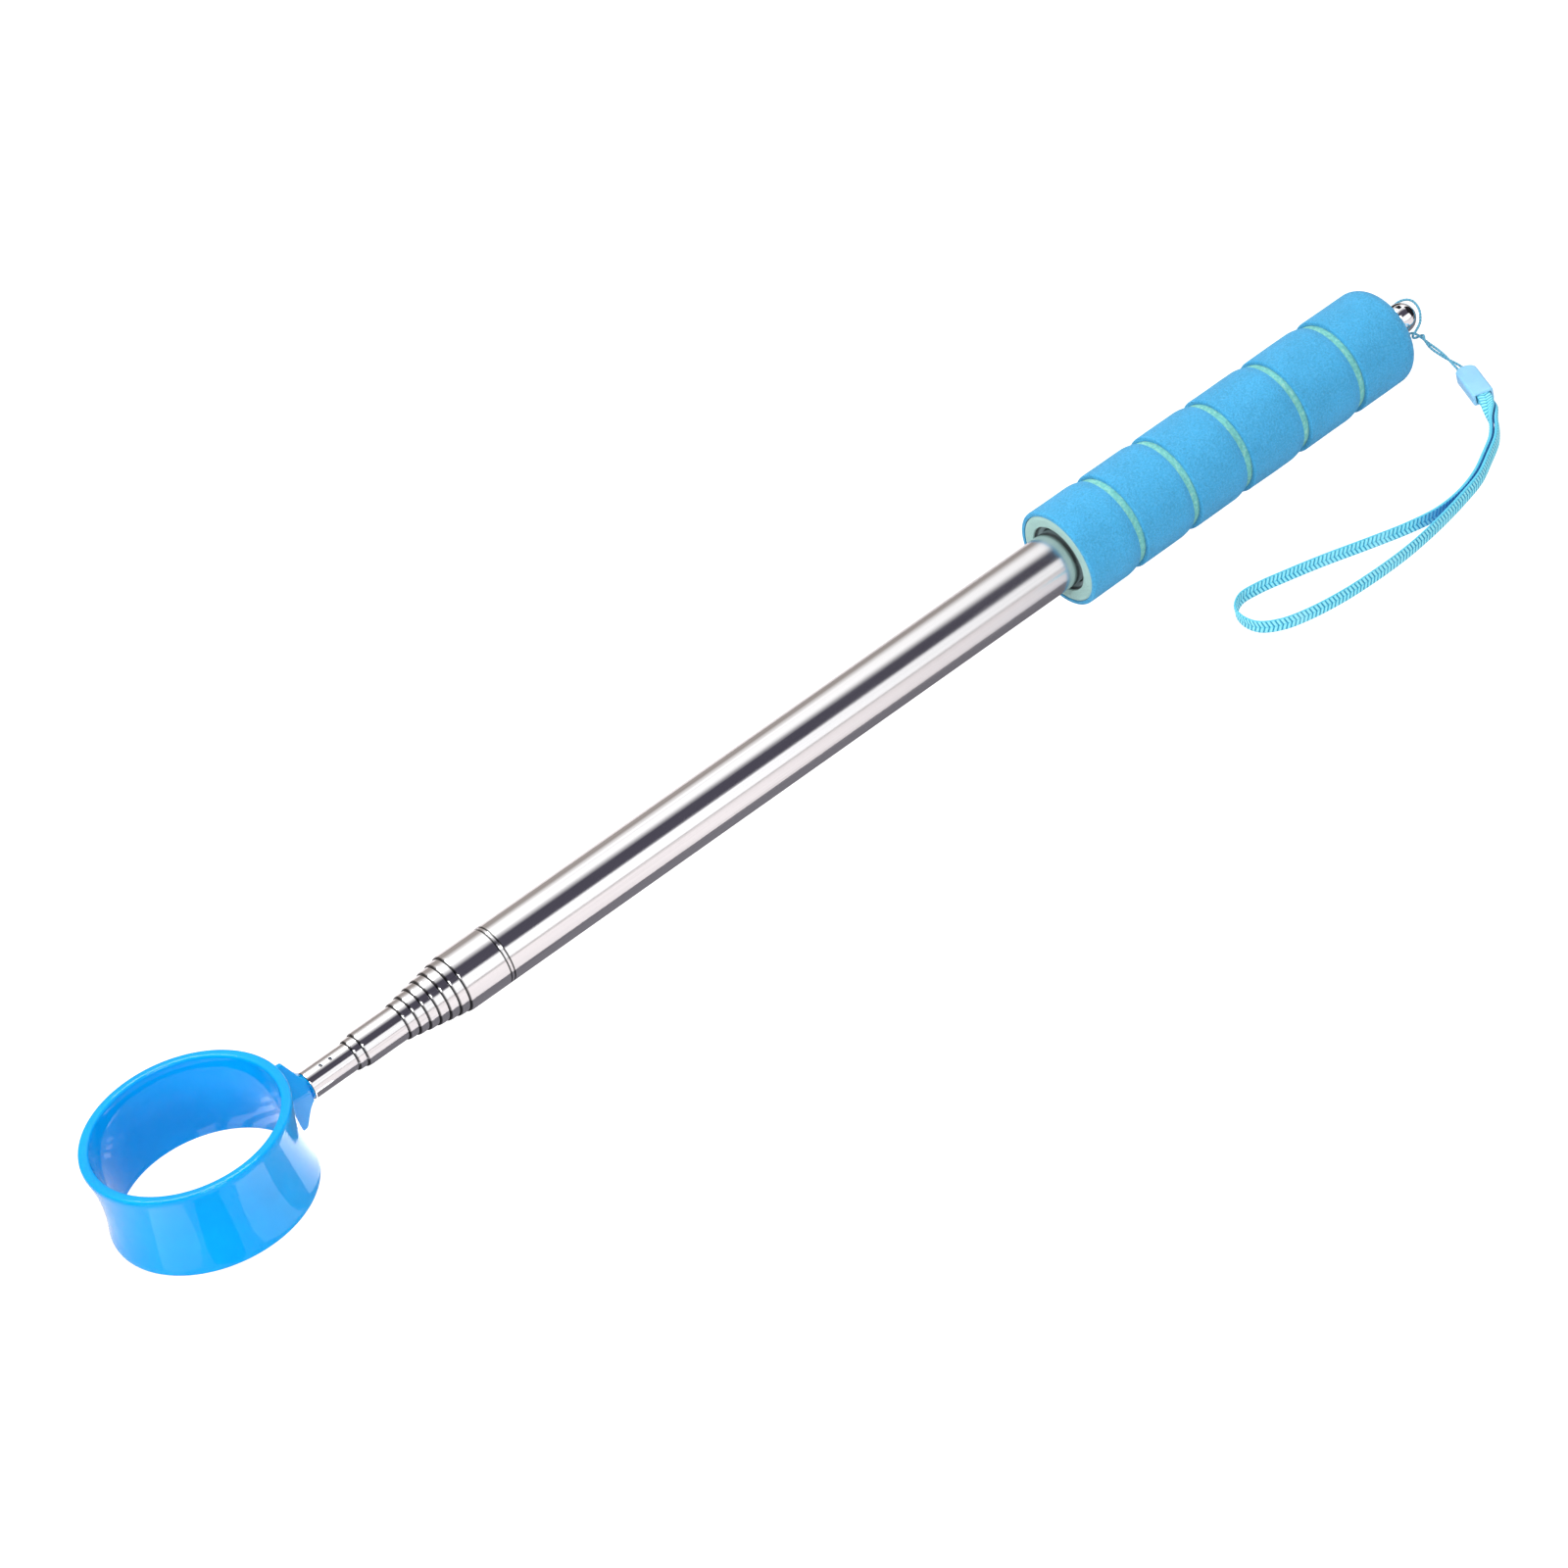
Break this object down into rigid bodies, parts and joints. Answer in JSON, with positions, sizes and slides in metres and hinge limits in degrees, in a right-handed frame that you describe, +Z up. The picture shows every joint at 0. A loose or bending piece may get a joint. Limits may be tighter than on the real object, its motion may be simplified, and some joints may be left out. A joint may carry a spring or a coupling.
{
  "type": "telescopic golf ball retriever",
  "caption": "Telescopic steel pole with a round plastic ball ring at the tip, a grooved foam grip and a wrist strap.",
  "frame": {"origin": "under the middle of the closed retriever, at the height of the surface that the grip lies on", "axes": "+X along the pole from the ring to the grip and knob, +Z up along the ring's own axis, +Y across"},
  "size_m": [0.4649, 0.097, 0.0301],
  "materials": {
    "stainless_steel": "polished stainless tube, lengthwise draw lines",
    "stainless_steel_inner": "polished stainless tube",
    "brass_spring": "bright spring brass",
    "ring_plastic": "glossy moulded azure plastic",
    "foam_blue": "matt closed-cell foam, fine grain",
    "foam_mint": "matt cut closed-cell foam",
    "chrome": "mirror chrome",
    "plug_plastic": "satin black moulding",
    "webbing": "flat woven polyester webbing, chevron weave",
    "string": "thin twisted cord",
    "connector_plastic": "satin pale blue moulding"
  },
  "bodies": {
    "handle": {"outer_tube": "stainless_steel", "front_collar": "stainless_steel", "grip_core": "foam_mint", "grip_band_1": "foam_blue", "grip_band_2": "foam_blue", "grip_band_3": "foam_blue", "grip_band_4": "foam_blue", "grip_band_5": "foam_blue", "grip_band_6": "foam_blue", "rear_plug": "plug_plastic", "end_knob": "chrome", "strap_string": "string", "strap_connector": "connector_plastic", "wrist_strap": "webbing"},
    "pole_16": {"section_16": "stainless_steel_inner", "sleeve_16": "brass_spring"},
    "pole_15": {"section_15": "stainless_steel_inner", "sleeve_15": "brass_spring"},
    "pole_14": {"section_14": "stainless_steel_inner", "sleeve_14": "brass_spring"},
    "pole_13": {"section_13": "stainless_steel_inner", "sleeve_13": "brass_spring"},
    "pole_12": {"section_12": "stainless_steel_inner", "sleeve_12": "brass_spring"},
    "pole_11": {"section_11": "stainless_steel_inner", "sleeve_11": "brass_spring"},
    "pole_10": {"section_10": "stainless_steel_inner", "sleeve_10": "brass_spring"},
    "pole_09": {"section_09": "stainless_steel_inner", "sleeve_09": "brass_spring"},
    "pole_08": {"sleeve_08": "brass_spring"},
    "head": {"section_08": "stainless_steel_inner", "ring_head": "ring_plastic", "head_pin_1": "stainless_steel", "head_pin_2": "stainless_steel"}
  },
  "joints": [
    {"name": "slide_16", "type": "slide", "parent": "handle", "child": "pole_16", "axis": [-1, 0, 0], "range_m": [0, 0.2641]},
    {"name": "slide_15", "type": "slide", "parent": "pole_16", "child": "pole_15", "axis": [-1, 0, 0], "range_m": [0, 0.2799]},
    {"name": "slide_14", "type": "slide", "parent": "pole_15", "child": "pole_14", "axis": [-1, 0, 0], "range_m": [0, 0.2829]},
    {"name": "slide_13", "type": "slide", "parent": "pole_14", "child": "pole_13", "axis": [-1, 0, 0], "range_m": [0, 0.2858]},
    {"name": "slide_12", "type": "slide", "parent": "pole_13", "child": "pole_12", "axis": [-1, 0, 0], "range_m": [0, 0.2888]},
    {"name": "slide_11", "type": "slide", "parent": "pole_12", "child": "pole_11", "axis": [-1, 0, 0], "range_m": [0, 0.2917]},
    {"name": "slide_10", "type": "slide", "parent": "pole_11", "child": "pole_10", "axis": [-1, 0, 0], "range_m": [0, 0.2947]},
    {"name": "slide_09", "type": "slide", "parent": "pole_10", "child": "pole_09", "axis": [-1, 0, 0], "range_m": [0, 0.3078]},
    {"name": "slide_08", "type": "slide", "parent": "pole_09", "child": "pole_08", "axis": [-1, 0, 0], "range_m": [0, 0.3104]},
    {"name": "ring_swivel", "type": "hinge", "parent": "pole_08", "child": "head", "pos_m": [-0.1693, 0, 0.015], "axis": [1, 0, 0], "continuous": true}
  ]
}
